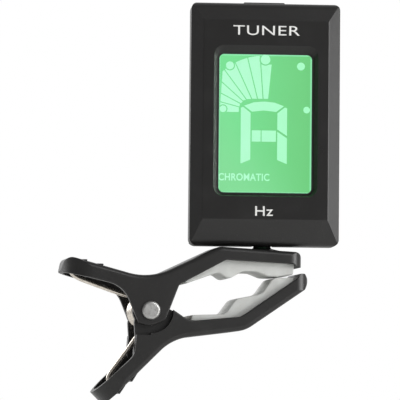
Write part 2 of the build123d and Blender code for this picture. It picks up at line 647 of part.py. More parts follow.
def make_battery_door():
    """Door over the coin cell: slides up and off, with two tongues and a thumb grip."""
    door = door_form(0) & rear_block(0)
    for step in range(3):
        groove = block((-3.4 + 0.5 * step, 3.4 - 0.5 * step), (REAR_Y - 0.35, REAR_Y + 1),
                       (DOOR_BOTTOM + 3 + 1.5 * step, DOOR_BOTTOM + 3.7 + 1.5 * step))
        door -= groove
    return turn_head(door)


def make_cover_screws():
    """Four self-tapping screws, which pull the rear cover onto the front cover's bosses."""
    screws = []
    for x, z in SCREW_PLACES:
        seat = screw_seat(z)
        screw = rod_y(x, z, SCREW_RADIUS, SCREW_TIP_Y, seat)
        screw += rod_y(x, z, SCREW_HEAD_RADIUS, seat, seat + SCREW_HEAD_HEIGHT)
        slot_y = (seat + SCREW_HEAD_HEIGHT - 0.4, seat + 2)
        screw -= block((x - 0.9, x + 0.9), slot_y, (z - 0.16, z + 0.16))
        screw -= block((x - 0.16, x + 0.16), slot_y, (z - 0.9, z + 0.9))
        screws.append(turn_head(screw))
    return Compound(children=screws)


# ---------------------------------------------------------------- display
def make_window_lens():
    """Clear window: a boss that fills the opening and a flange behind the wall."""
    flange_y = FRONT_INNER_Y + FIT_GAP
    lens = plate(WINDOW_WIDTH + 2 * LENS_FLANGE, WINDOW_HEIGHT + 2 * LENS_FLANGE, WINDOW_CORNER,
                 WINDOW_Z, flange_y, flange_y + LENS_THICKNESS)
    lens += plate(WINDOW_WIDTH - 2 * FIT_GAP, WINDOW_HEIGHT - 2 * FIT_GAP, WINDOW_CORNER,
                  WINDOW_Z, FRONT_Y + RECESS_DEPTH, flange_y)
    return turn_head(lens)


def panel_span():
    """Low and high Z of the display panel, whose ledge is below the window."""
    high = WINDOW_Z + WINDOW_HEIGHT / 2 + 1.3
    return high - PANEL_HEIGHT, high


def panel_depth():
    """Low and high Y of the display panel, behind the lens."""
    low = FRONT_INNER_Y + LENS_THICKNESS + 2 * FIT_GAP
    return low, low + PANEL_THICKNESS


def make_lcd_panel():
    """Display glass: a rear plate with a contact ledge, and a shorter front plate."""
    low, high = panel_span()
    front, rear = panel_depth()
    half = PANEL_WIDTH / 2
    panel = block((-half, half), (front + PANEL_THICKNESS / 2, rear), (low + 1.2, high))
    panel += block((-half, half), (front, front + PANEL_THICKNESS / 2), (low, high))
    return turn_head(panel)


def make_lcd_backlight():
    """Light guide behind the panel, with a narrow tab that holds its lamps."""
    low, high = panel_span()
    rear = panel_depth()[1]
    depth = (rear + FIT_GAP, BOARD_FRONT_Y - FIT_GAP)
    half = GUIDE_WIDTH / 2
    guide = block((-half, half), depth, (low + PANEL_LEDGE, high - 0.2))
    guide += block((-4, 4), depth, (high - 0.2, high + 1.6))
    return turn_head(guide)


def make_elastomer_connector():
    """Striped rubber strip that joins the panel's ledge to the board."""
    low = panel_span()[0] + 1.25
    high = low + STRIP_HEIGHT - 0.8
    rear = panel_depth()[1]
    depth = (rear + FIT_GAP, BOARD_FRONT_Y - FIT_GAP)
    return turn_head(block((-STRIP_WIDTH / 2, STRIP_WIDTH / 2), depth, (low, high)))


# ------------------------------------------------------------------ board
def make_circuit_board():
    """Board across the head, notched round the tilt joint, with four screw holes."""
    half = BOARD_WIDTH / 2
    depth = (BOARD_FRONT_Y, BOARD_REAR_Y)
    board = plate(BOARD_WIDTH, BOARD_TOP - BOARD_BOTTOM, 1.0, (BOARD_TOP + BOARD_BOTTOM) / 2, *depth)
    notch = BOARD_NOTCH_WIDTH / 2
    board -= block((-notch, notch), (-half, half), (0, BOARD_NOTCH_TOP))
    for x, z in SCREW_PLACES:
        board -= rod_y(x, z, SCREW_RADIUS + SCREW_HOLE_GAP, *depth)
    return turn_head(board)


def on_board(x, z, width, height, rise):
    """Box-shaped component on the board's rear face."""
    low = BOARD_REAR_Y + 0.02
    return block((x - width / 2, x + width / 2), (low, low + rise), (z - height / 2, z + height / 2))


def make_controller_chip():
    """Controller: a flat square body with a row of leads on each side."""
    body = on_board(CHIP_X, CHIP_Z, CHIP_SIZE, CHIP_SIZE, CHIP_HEIGHT)
    pitch = 0.8
    reach = CHIP_SIZE / 2 + 0.35
    for index in range(LEADS_PER_SIDE):
        along = (index - (LEADS_PER_SIDE - 1) / 2) * pitch
        for side in (-1, 1):
            body += on_board(CHIP_X + side * reach, CHIP_Z + along, 0.8, 0.35, 0.25)
            body += on_board(CHIP_X + along, CHIP_Z + side * reach, 0.35, 0.8, 0.25)
    return turn_head(body)


def make_crystal_can():
    """Timing crystal: a small lying can."""
    y = BOARD_REAR_Y + CRYSTAL_RADIUS + 0.02
    return turn_head(rod_x(y, CRYSTAL_Z, CRYSTAL_RADIUS, CRYSTAL_X, CRYSTAL_X + CRYSTAL_LENGTH))


def make_smd_parts():
    """Resistors and capacitors beside the controller and along the cell."""
    places = [(1.6, 21.5), (1.6, 23.2), (4.4, 21.5), (4.4, 23.2), (7.4, 21.5), (7.4, 23.2),
              (10.6, 14.4), (10.6, 16.4), (-10.6, 14.4), (-10.6, 16.4)]
    parts = [turn_head(on_board(x, z, 1.6, 0.8, 0.6)) for x, z in places]
    return Compound(children=parts)


def make_tact_switch():
    """Switch at the board's top edge, open above for its plunger."""
    top = BUTTON_SWITCH_TOP
    depth = (BOARD_REAR_Y + 0.02, BOARD_REAR_Y + 0.02 + SWITCH_DEPTH)
    body = block((-SWITCH_WIDTH / 2, SWITCH_WIDTH / 2), depth, (top - SWITCH_HEIGHT, top))
    body -= rod_z(0, BUTTON_Y, PLUNGER_RADIUS + BUTTON_GAP, top - 1.2, top + 1)
    return turn_head(body)


def make_switch_plunger():
    """Round plunger that stands in the switch and carries the button."""
    top = BUTTON_SWITCH_TOP
    return turn_head(rod_z(0, BUTTON_Y, PLUNGER_RADIUS, top - 0.7, top + 0.6))


def make_power_button():
    """Bar-shaped button with a flange behind the top wall and a stem to the plunger."""
    low_y = BUTTON_Y - BUTTON_DEPTH / 2
    high_y = BUTTON_Y + BUTTON_DEPTH / 2
    half = BUTTON_WIDTH / 2
    flange_top = HEAD_TOP - HEAD_WALL - COVER_STEP - BUTTON_GAP
    cap = block((-half, half), (low_y, high_y), (flange_top - 0.5, HEAD_TOP + BUTTON_PROUD))
    cap = fillet(cap.edges().group_by(Axis.Z)[-1], 0.25)
    flange = block((-half - BUTTON_FLANGE, half + BUTTON_FLANGE),
                   (low_y, high_y), (flange_top - 0.5, flange_top))
    stem = block((-1.2, 1.2), (BUTTON_Y - 0.6, BUTTON_Y + 0.6), (BUTTON_SWITCH_TOP + 0.62, flange_top))
    return turn_head(cap + flange + stem)


# ---------------------------------------------------------- pickup, battery
def make_piezo_disc():
    """Pickup: a brass disc with a ceramic disc on it, on the rear cover's floor."""
    floor = REAR_Y - HEAD_WALL - FIT_GAP
    disc = rod_y(0, PIEZO_Z, PIEZO_RADIUS, floor - 0.25, floor)
    disc += rod_y(0, PIEZO_Z, PIEZO_RADIUS - 1.3, floor - 0.45, floor - 0.25)
    return turn_head(disc)


def make_piezo_leads():
    """Two wires from the pickup to the board."""
    start = REAR_Y - HEAD_WALL - FIT_GAP - 0.47
    leads = []
    for x in (2.2, 3.6):
        points = [(x, start, PIEZO_Z), (x, start - 1.5, PIEZO_Z), (x, start - 2.3, PIEZO_Z - 1.6),
                  (x, BOARD_REAR_Y + 0.02, PIEZO_Z - 1.6)]
        leads.append(turn_head(wire(points, LEAD_RADIUS, 0.6)))
    return Compound(children=leads)


def make_battery_cell():
    """Coin cell: a wide can with a slightly narrower cap towards the board."""
    cell = rod_y(0, CELL_Z, CELL_RADIUS, CELL_FRONT_Y + 0.5, CELL_REAR_Y)
    cell = fillet(cell.edges(), 0.25)
    cell += rod_y(0, CELL_Z, CELL_RADIUS - 1.0, CELL_FRONT_Y, CELL_FRONT_Y + 0.6)
    return turn_head(cell)


def make_battery_contact_negative():
    """Sprung leaf on the board, arched up to the cell's cap."""
    base = BOARD_REAR_Y + 0.02
    rise = CELL_FRONT_Y - base - 0.04
    top = base + CONTACT_SHEET
    leaf = outline([
        (base, -6, 0), (top, -6, 0), (top, -4, 0.5), (base + rise, 0, 2.0), (top, 4, 0.5), (top, 6, 0),
        (base, 6, 0), (base, 4, 0.5), (base + rise - CONTACT_SHEET, 0, 2.0), (base, -4, 0.5),
    ])
    return turn_head(Pos(0, 0, CELL_Z) * across_x(leaf, -2.5, 2.5))


def make_battery_contact_positive():
    """Upright leaf beside the cell, soldered to the board."""
    x = CELL_RADIUS + 0.04
    span = (CELL_Z - 2.4, CELL_Z + 2.4)
    base = BOARD_REAR_Y + 0.02
    leaf = block((x, x + CONTACT_SHEET), (base, CELL_REAR_Y - 1.0), span)
    leaf += block((x, x + 1.4), (base, base + CONTACT_SHEET), span)
    return turn_head(leaf)


MAKERS = {
    "upper_jaw": make_upper_jaw,
    "lower_jaw": make_lower_jaw,
    "pivot_pin": make_pivot_pin,
    "clip_spring": make_clip_spring,
    "upper_pad": make_upper_pad,
    "lower_pad": make_lower_pad,
    "swivel_post": make_swivel_post,
    "swivel_washer": make_swivel_washer,
    "swivel_screw": make_swivel_screw,
    "tilt_pin": make_tilt_pin,
    "tilt_washers": make_tilt_washers,
    "front_cover": make_front_cover,
    "rear_cover": make_rear_cover,
    "battery_door": make_battery_door,
    "cover_screws": make_cover_screws,
    "window_lens": make_window_lens,
    "lcd_panel": make_lcd_panel,
    "lcd_backlight": make_lcd_backlight,
    "elastomer_connector": make_elastomer_connector,
    "circuit_board": make_circuit_board,
    "controller_chip": make_controller_chip,
    "crystal_can": make_crystal_can,
    "smd_parts": make_smd_parts,
    "tact_switch": make_tact_switch,
    "switch_plunger": make_switch_plunger,
    "power_button": make_power_button,
    "piezo_disc": make_piezo_disc,
    "piezo_leads": make_piezo_leads,
    "battery_cell": make_battery_cell,
    "battery_contact_negative": make_battery_contact_negative,
    "battery_contact_positive": make_battery_contact_positive,
}

os.makedirs("parts", exist_ok=True)
for node, maker in MAKERS.items():
    export_step(maker(), f"parts/{node}.step")
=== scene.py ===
"""Looks of a clip-on tuner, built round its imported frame: studio, finishes and detailed pieces."""

import logging
import math
from dataclasses import dataclass
from enum import Enum
from typing import Iterable, Optional, Sequence, Union

import bpy
from mathutils import Matrix, Vector


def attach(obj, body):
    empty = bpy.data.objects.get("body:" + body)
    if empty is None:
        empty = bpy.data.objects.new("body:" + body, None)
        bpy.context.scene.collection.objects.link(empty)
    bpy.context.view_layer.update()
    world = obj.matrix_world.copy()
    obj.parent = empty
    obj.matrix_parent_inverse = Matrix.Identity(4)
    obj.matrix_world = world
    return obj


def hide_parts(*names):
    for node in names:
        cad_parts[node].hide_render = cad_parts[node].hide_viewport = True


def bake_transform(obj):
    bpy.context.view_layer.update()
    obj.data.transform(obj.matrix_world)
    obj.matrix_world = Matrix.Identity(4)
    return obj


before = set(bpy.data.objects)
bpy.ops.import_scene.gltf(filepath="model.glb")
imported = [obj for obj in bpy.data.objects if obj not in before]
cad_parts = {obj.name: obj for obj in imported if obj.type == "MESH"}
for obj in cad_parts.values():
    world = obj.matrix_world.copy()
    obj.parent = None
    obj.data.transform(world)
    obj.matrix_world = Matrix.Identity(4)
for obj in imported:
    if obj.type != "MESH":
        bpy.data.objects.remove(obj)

MM = 0.001
LOG = logging.getLogger("tuner")
MERGE = 0.002          # millimetres: points of a CAD copy closer than this are one
FLAT_DEGREES = 0.6     # faces of a CAD copy flatter than this are joined

Point = tuple[float, float]
Colour = tuple[float, float, float]
Number = Union[float, "Field"]


class Depth(Enum):
    """Layers in front of the display panel, in millimetres from its face."""

    BARS = 0.003
    RINGS = 0.013
    DOTS = 0.023


# ------------------------------------------------------------------ the frame's own places
@dataclass(frozen=True)
class HeadPlace:
    """Where the head stands: it is stored turned about the upright swivel axis."""

    swivel_x: float = -3.7
    yaw: float = -5.6

    def matrix(self) -> Matrix:
        """Matrix that takes a point from the head's own axes to the row frame, in metres."""
        turn = Matrix.Rotation(math.radians(self.yaw), 4, "Z")
        return Matrix.Translation((self.swivel_x * MM, 0, 0)) @ turn

    def local_box(self, node: str) -> tuple[Vector, Vector]:
        """Lowest and highest corner of a CAD node in the head's own axes.

        Args:
            node: Name of the CAD node.

        Returns:
            Two corners, in millimetres.
        """
        back = self.matrix().inverted()
        points = [back @ v.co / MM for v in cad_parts[node].data.vertices]
        low = Vector(min(p[axis] for p in points) for axis in range(3))
        high = Vector(max(p[axis] for p in points) for axis in range(3))
        return low, high


HEAD = HeadPlace()


# ------------------------------------------------------------------ shader maths
class Field:
    """A number that varies over a surface: one shader socket, with arithmetic."""

    def __init__(self, tree: "Tree", socket: bpy.types.NodeSocket) -> None:
        """Wrap a socket of a tree's node."""
        self.tree = tree
        self.socket = socket

    def _maths(self, operation: str, *terms: Number) -> "Field":
        """Add one Math node.

        Args:
            operation: The node's operation.
            terms: Its inputs, in order.

        Returns:
            The node's result.
        """
        node = self.tree.node("ShaderNodeMath", {"operation": operation}, dict(enumerate(terms)))
        return Field(self.tree, node.outputs[0])

    def __add__(self, other: Number) -> "Field":
        """Sum."""
        return self._maths("ADD", self, other)

    __radd__ = __add__

    def __sub__(self, other: Number) -> "Field":
        """Difference."""
        return self._maths("SUBTRACT", self, other)

    def __rsub__(self, other: Number) -> "Field":
        """Difference from a number."""
        return self._maths("SUBTRACT", other, self)

    def __mul__(self, other: Number) -> "Field":
        """Product."""
        return self._maths("MULTIPLY", self, other)

    __rmul__ = __mul__

    def __truediv__(self, other: Number) -> "Field":
        """Quotient."""
        return self._maths("DIVIDE", self, other)

    def __abs__(self) -> "Field":
        """Size without its sign."""
        return self._maths("ABSOLUTE", self)

    def wave(self) -> "Field":
        """Sine of the number, in radians."""
        return self._maths("SINE", self)

    def above(self, edge: float, width: float) -> "Field":
        """Smooth step from 0 below an edge to 1 above it.

        Args:
            edge: Middle of the step.
            width: Width of the step.

        Returns:
            The step, from 0 to 1.
        """
        settings = {"interpolation_type": "SMOOTHSTEP"}
        inputs = {"Value": self, "From Min": edge - width / 2, "From Max": edge + width / 2}
        node = self.tree.node("ShaderNodeMapRange", settings, inputs)
        return Field(self.tree, node.outputs["Result"])


class Tree:
    """The node tree of one new material, with its Principled shader."""

    def __init__(self, name: str) -> None:
        """Make a material of that name."""
        self.material = bpy.data.materials.new(name)
        self.material.use_nodes = True
        self.nodes = self.material.node_tree.nodes
        self.links = self.material.node_tree.links
        self.shader = next(n for n in self.nodes if n.type == "BSDF_PRINCIPLED")

    def node(self, kind: str, settings: dict, inputs: dict) -> bpy.types.Node:
        """Add one node of any type.

        Args:
            kind: The node's type.
            settings: Its properties, which are set first.
            inputs: Values, fields or sockets for its inputs, by name or number.

        Returns:
            The new node.
        """
        made = self.nodes.new(kind)
        for key, value in settings.items():
            setattr(made, key, value)
        for key, value in inputs.items():
            self.put(made.inputs[key], value)
        return made

    def put(self, target: bpy.types.NodeSocket, value: object) -> None:
        """Link a field or socket to an input, or set the input's own value."""
        if isinstance(value, Field):
            self.links.new(value.socket, target)
        elif isinstance(value, bpy.types.NodeSocket):
            self.links.new(value, target)
        else:
            target.default_value = value

    def place(self, turned: bool = False) -> bpy.types.NodeSocket:
        """Object coordinates in millimetres, turned to the head's own axes if asked.

        Args:
            turned: True for a piece on the head.

        Returns:
            A vector socket.
        """
        coordinates = self.node("ShaderNodeTexCoord", {}, {}).outputs["Object"]
        scale = 1 / MM
        shift = (0.0, 0.0, 0.0)
        turn = 0.0
        if turned:
            turn = -math.radians(HEAD.yaw)
            shift = Matrix.Rotation(turn, 3, "Z") @ Vector((-HEAD.swivel_x, 0, 0))
        inputs = {"Vector": coordinates, "Location": shift, "Rotation": (0, 0, turn), "Scale": (scale,) * 3}
        return self.node("ShaderNodeMapping", {"vector_type": "POINT"}, inputs).outputs[0]

    def axes(self, place: bpy.types.NodeSocket) -> tuple[Field, Field, Field]:
        """The three numbers of a vector."""
        parts = self.node("ShaderNodeSeparateXYZ", {}, {0: place}).outputs
        return Field(self, parts[0]), Field(self, parts[1]), Field(self, parts[2])

    def noise(
        self, place: bpy.types.NodeSocket, size: float, detail: float = 2.0, rough: float = 0.5,
    ) -> Field:
        """Noise from 0 to 1.

        Args:
            place: Coordinates in millimetres.
            size: Size of its features, in millimetres.
            detail: Number of finer octaves.
            rough: Strength of each finer octave.

        Returns:
            The noise.
        """
        inputs = {"Vector": place, "Scale": 1 / size, "Detail": detail, "Roughness": rough}
        return Field(self, self.node("ShaderNodeTexNoise", {}, inputs).outputs[0])

    def cells(self, place: bpy.types.NodeSocket, size: float) -> Field:
        """Distance to the nearest of scattered points, for a pebbled or eroded surface."""
        inputs = {"Vector": place, "Scale": 1 / size}
        return Field(self, self.node("ShaderNodeTexVoronoi", {}, inputs).outputs["Distance"])

    def mix(self, factor: Number, low: object, high: object) -> bpy.types.NodeSocket:
        """Colour between two colours.

        Args:
            factor: 0 for the first colour, 1 for the second.
            low: First colour or colour socket.
            high: Second colour or colour socket.

        Returns:
            A colour socket.
        """
        node = self.node("ShaderNodeMix", {"data_type": "RGBA"}, {"Factor": factor})
        for socket, value in ((node.inputs[6], low), (node.inputs[7], high)):
            self.put(socket, (*value, 1.0) if isinstance(value, tuple) else value)
        return node.outputs[2]

    def bump(self, height: Field, depth: float) -> bpy.types.NodeSocket:
        """Normal of a relief.

        Args:
            height: The relief, from 0 to 1.
            depth: Its depth, in millimetres.

        Returns:
            A normal socket.
        """
        node = self.node("ShaderNodeBump", {}, {"Height": height, "Distance": depth * MM, "Strength": 1.0})
        return node.outputs[0]

    def finish(self, **sockets: object) -> bpy.types.Material:
        """Set the Principled shader's sockets, named with underscores for spaces.

        Args:
            sockets: Values, fields or sockets.

        Returns:
            The material.
        """
        for name, value in sockets.items():
            target = self.shader.inputs[name.replace("_", " ")]
            if target.type == "RGBA" and isinstance(value, tuple):
                value = (*value, 1.0)
            self.put(target, value)
        return self.material


# ------------------------------------------------------------------ finishes
@dataclass(frozen=True)
class MouldedPlastic:
    """Black plastic from a spark-eroded mould: fine grain, with smoother rubbed flats."""

    name: str
    colour: Colour = (0.013, 0.0125, 0.0122)
    dust: Colour = (0.045, 0.044, 0.043)
    roughness: float = 0.42
    grain: float = 0.16
    depth: float = 0.018
    on_head: bool = False
    flat_y: Optional[float] = None

    def material(self) -> bpy.types.Material:
        """Build the material."""
        tree = Tree(self.name)
        place = tree.place(self.on_head)
        grain = tree.cells(place, self.grain)
        cloud = tree.noise(place, 6.0, 3.0)
        specks = tree.noise(place, 0.22, 1.0).above(0.71, 0.05)
        rough = self.roughness + (cloud - 0.5) * 0.10
        relief = grain * 0.6 + tree.noise(place, self.grain * 0.6) * 0.4
        if self.flat_y is not None:
            height = tree.axes(place)[1]
            flat = 1 - height.above(self.flat_y + 0.08, 0.12)
            rough = rough - flat * 0.13
            relief = relief * (1 - flat * 0.75)
        colour = tree.mix(specks * 0.4 + cloud.above(0.66, 0.3) * 0.15, self.colour, self.dust)
        return tree.finish(Base_Color=colour, Roughness=rough, Normal=tree.bump(relief, self.depth))


@dataclass(frozen=True)
class Silicone:
    """Soft light grey rubber with a satin skin and a few dark specks."""

    name: str = "silicone"
    colour: Colour = (0.60, 0.61, 0.59)
    shade: Colour = (0.47, 0.47, 0.45)

    def material(self) -> bpy.types.Material:
        """Build the material."""
        tree = Tree(self.name)
        place = tree.place()
        cloud = tree.noise(place, 2.2, 3.0)
        specks = tree.noise(place, 0.30, 1.0).above(0.72, 0.04)
        colour = tree.mix(cloud.above(0.52, 0.5) * 0.5, self.colour, self.shade)
        colour = tree.mix(specks * 0.5, colour, (0.30, 0.29, 0.27))
        relief = tree.noise(place, 0.25, 3.0)
        rough = 0.46 + cloud * 0.16
        return tree.finish(
            Base_Color=colour, Roughness=rough, Normal=tree.bump(relief, 0.012),
            Subsurface_Weight=0.12, Subsurface_Radius=(0.0012, 0.0011, 0.0010), Subsurface_Scale=1.0,
            Specular_IOR_Level=0.42,
        )


@dataclass(frozen=True)
class PlatedMetal:
    """Plated steel or brass with drawn streaks, stains and a mottled polish."""

    name: str
    colour: Colour = (0.60, 0.585, 0.56)
    stain: Colour = (0.30, 0.25, 0.19)
    roughness: float = 0.26
    mottle: float = 0.5
    depth: float = 0.004
    stained: float = 0.35
    on_head: bool = False

    def material(self) -> bpy.types.Material:
        """Build the material."""
        tree = Tree(self.name)
        place = tree.place(self.on_head)
        blotch = tree.noise(place, self.mottle, 4.0, 0.6)
        fine = tree.noise(place, self.mottle * 0.25, 2.0)
        colour = tree.mix(blotch.above(0.56, 0.22) * self.stained, self.colour, self.stain)
        rough = self.roughness + (fine - 0.5) * 0.22 + blotch.above(0.6, 0.2) * 0.12
        relief = blotch * 0.6 + fine * 0.4
        return tree.finish(
            Base_Color=colour, Metallic=1.0, Roughness=rough, Normal=tree.bump(relief, self.depth),
        )


@dataclass(frozen=True)
class ClearAcrylic:
    """Polished clear window with the faintest haze."""

    name: str = "clear_acrylic"

    def material(self) -> bpy.types.Material:
        """Build the material."""
        tree = Tree(self.name)
        place = tree.place(True)
        relief = tree.noise(place, 5.0, 1.0)
        return tree.finish(
            Base_Color=(0.97, 1.0, 0.985), Transmission_Weight=1.0, IOR=1.49, Roughness=0.0,
            Normal=tree.bump(relief, 0.002),
        )


@dataclass(frozen=True)
class LitDisplay:
    """Backlit green display, unevenly lit, brighter along its rim."""

    name: str = "lit_display"
    half_width: float = 8.65
    half_height: float = 12.9
    middle_z: float = 28.45

    def material(self) -> bpy.types.Material:
        """Build the material."""
        tree = Tree(self.name)
        place = tree.place(True)
        across, _, up = tree.axes(place)
        across = across / self.half_width
        up = (up - self.middle_z) / self.half_height
        colour = tree.mix(across.above(0.0, 2.2), (0.193, 0.795, 0.305), (0.160, 0.650, 0.215))
        corner = (0.55 - across * 0.45 - up * 0.55).above(1.0, 0.9)
        colour = tree.mix(corner * 0.85, colour, (0.245, 0.750, 0.325))
        rim = abs(across).above(0.975, 0.03) + abs(up).above(0.985, 0.02)
        colour = tree.mix(rim, colour, (0.32, 0.90, 0.50))
        grain = tree.noise(place, 0.12, 1.0)
        colour = tree.mix(grain * 0.06, colour, (0.02, 0.30, 0.08))
        return tree.finish(
            Base_Color=(0.01, 0.03, 0.015), Roughness=0.5, Emission_Color=colour, Emission_Strength=1.0,
        )


@dataclass(frozen=True)
class LitSegment:
    """Lit display segment: pale mint, a little uneven."""

    name: str = "lit_segment"

    def material(self) -> bpy.types.Material:
        """Build the material."""
        tree = Tree(self.name)
        place = tree.place(True)
        across = tree.axes(place)[0]
        cloud = tree.noise(place, 3.0, 1.0)
        colour = tree.mix(across.above(0.0, 18.0), (0.49, 1.02, 0.68), (0.42, 1.02, 0.60))
        colour = tree.mix(cloud.above(0.6, 0.3) * 0.25, colour, (0.40, 0.94, 0.56))
        return tree.finish(
            Base_Color=(0.02, 0.03, 0.02), Roughness=0.5, Emission_Color=colour, Emission_Strength=1.0,
        )


@dataclass(frozen=True)
class Paint:
    """White printed legend, slightly broken by the grain under it."""

    name: str = "white_print"

    def material(self) -> bpy.types.Material:
        """Build the material."""
        tree = Tree(self.name)
        place = tree.place(True)
        worn = tree.noise(place, 0.25, 2.0).above(0.68, 0.12)
        colour = tree.mix(worn * 0.35, (0.80, 0.80, 0.78), (0.42, 0.42, 0.41))
        relief = tree.noise(place, 0.15)
        return tree.finish(Base_Color=colour, Roughness=0.55, Normal=tree.bump(relief, 0.004))


@dataclass(frozen=True)
class Striped:
    """Two materials in fine bands, such as conductive rubber or a board's tracks."""

    name: str
    low: Colour
    high: Colour
    pitch: float
    roughness: float = 0.5
    cross: bool = False

    def material(self) -> bpy.types.Material:
        """Build the material."""
        tree = Tree(self.name)
        place = tree.place(True)
        across, _, up = tree.axes(place)
        turns = 2 * math.pi / self.pitch
        band = (across * turns).wave().above(0.0, 0.3)
        if self.cross:
            patch = tree.noise(place, 4.0, 1.0).above(0.5, 0.02)
            band = band * patch + (up * turns).wave().above(0.4, 0.3) * (1 - patch)
        cloud = tree.noise(place, 1.5)
        colour = tree.mix(band, self.low, self.high)
        rough = self.roughness + (cloud - 0.5) * 0.1
        relief = band * 0.5 + cloud * 0.2
        return tree.finish(Base_Color=colour, Roughness=rough, Normal=tree.bump(relief, 0.02))


@dataclass(frozen=True)
class Resin:
    """Moulded or ceramic component body, with a pitted surface."""

    name: str
    colour: Colour
    second: Colour
    roughness: float = 0.5
    size: float = 0.4

    def material(self) -> bpy.types.Material:
        """Build the material."""
        tree = Tree(self.name)
        place = tree.place(True)
        blotch = tree.noise(place, self.size, 2.0)
        colour = tree.mix(blotch.above(0.55, 0.3), self.colour, self.second)
        relief = tree.cells(place, self.size * 0.4)
        rough = self.roughness + blotch * 0.1
        return tree.finish(Base_Color=colour, Roughness=rough, Normal=tree.bump(relief, 0.01))


class Finishes:
    """Every material of the object, each built once."""

    def __init__(self) -> None:
        """Build the materials."""
        flat = HEAD.local_box("front_cover")[0].y
        self.head = MouldedPlastic("head_plastic", on_head=True, flat_y=flat).material()
        self.rear = MouldedPlastic("rear_plastic", on_head=True).material()
        self.door = MouldedPlastic("door_plastic", on_head=True, roughness=0.46).material()
        self.button = MouldedPlastic(
            "button_plastic", colour=(0.018, 0.0175, 0.017), on_head=True,
        ).material()
        self.clip = MouldedPlastic("clip_plastic", roughness=0.36, grain=0.2, depth=0.006).material()
        self.post = MouldedPlastic("post_plastic", roughness=0.3, depth=0.004).material()
        self.silicone = Silicone().material()
        self.wire = PlatedMetal("spring_wire", colour=(0.80, 0.74, 0.66), mottle=0.9).material()
        self.rivet = PlatedMetal(
            "rivet_zinc", colour=(0.52, 0.52, 0.51), stain=(0.20, 0.19, 0.18), roughness=0.4,
            mottle=0.7, depth=0.06, stained=0.55,
        ).material()
        self.steel = PlatedMetal("small_steel", colour=(0.5, 0.5, 0.5), on_head=True).material()
        self.cell = PlatedMetal(
            "cell_can", colour=(0.62, 0.62, 0.61), mottle=1.6, stained=0.1, on_head=True,
        ).material()
        self.leaf = PlatedMetal("contact_leaf", colour=(0.66, 0.58, 0.38), on_head=True).material()
        self.brass = PlatedMetal("pickup_brass", colour=(0.68, 0.48, 0.2), on_head=True).material()
        self.acrylic = ClearAcrylic().material()
        self.display = LitDisplay().material()
        self.segment = LitSegment().material()
        self.print = Paint().material()
        self.guide = Resin("milky_guide", (0.62, 0.85, 0.66), (0.7, 0.9, 0.74), 0.3, 3.0).material()
        self.zebra = Striped("zebra_rubber", (0.72, 0.42, 0.48), (0.03, 0.03, 0.03), 0.18).material()
        self.board = Striped(
            "board_laminate", (0.01, 0.09, 0.04), (0.02, 0.17, 0.075), 0.7, 0.32, cross=True,
        ).material()
        self.chip = Resin("chip_resin", (0.012, 0.012, 0.013), (0.02, 0.02, 0.021)).material()
        self.ceramic = Resin("part_ceramic", (0.32, 0.24, 0.15), (0.55, 0.55, 0.54), 0.4, 0.8).material()
        self.switch = Resin("switch_body", (0.02, 0.02, 0.02), (0.035, 0.035, 0.035)).material()
        self.plunger = Resin("plunger_plastic", (0.4, 0.05, 0.03), (0.45, 0.07, 0.04)).material()
        self.leads = Resin("lead_insulation", (0.35, 0.01, 0.01), (0.42, 0.02, 0.02), 0.4, 1.0).material()


